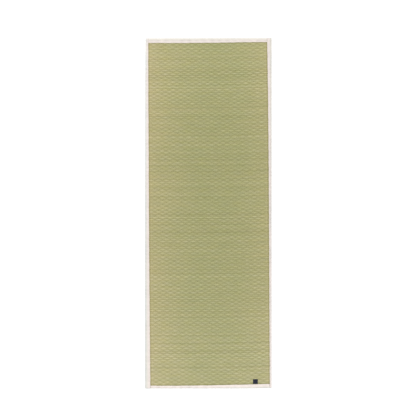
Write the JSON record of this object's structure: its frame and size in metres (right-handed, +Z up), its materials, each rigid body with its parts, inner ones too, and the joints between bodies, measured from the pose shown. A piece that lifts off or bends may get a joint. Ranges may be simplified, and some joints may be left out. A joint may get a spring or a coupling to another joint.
{
  "type": "tatami mat",
  "caption": "Thin rectangular floor mat of woven rush, bound all round with folded cotton strips, with a small plain cloth tab near one corner.",
  "frame": {"origin": "middle of the mat's box, on the floor that it lies on", "axes": "+Y along the mat's length, +X across its width, +Z up out of the floor; the cloth tab is at the +X, -Y corner"},
  "size_m": [0.65, 1.8, 0.0056],
  "materials": {
    "rush": "woven rush, dry and faintly glossy",
    "cotton": "plain cotton weave, matte",
    "navy_cloth": "tightly woven cloth, matte"
  },
  "bodies": {
    "root": {"rush_panel": "rush", "binding_left": "cotton", "binding_right": "cotton", "binding_near_end": "cotton", "binding_far_end": "cotton", "cloth_tab": "navy_cloth"}
  },
  "joints": []
}
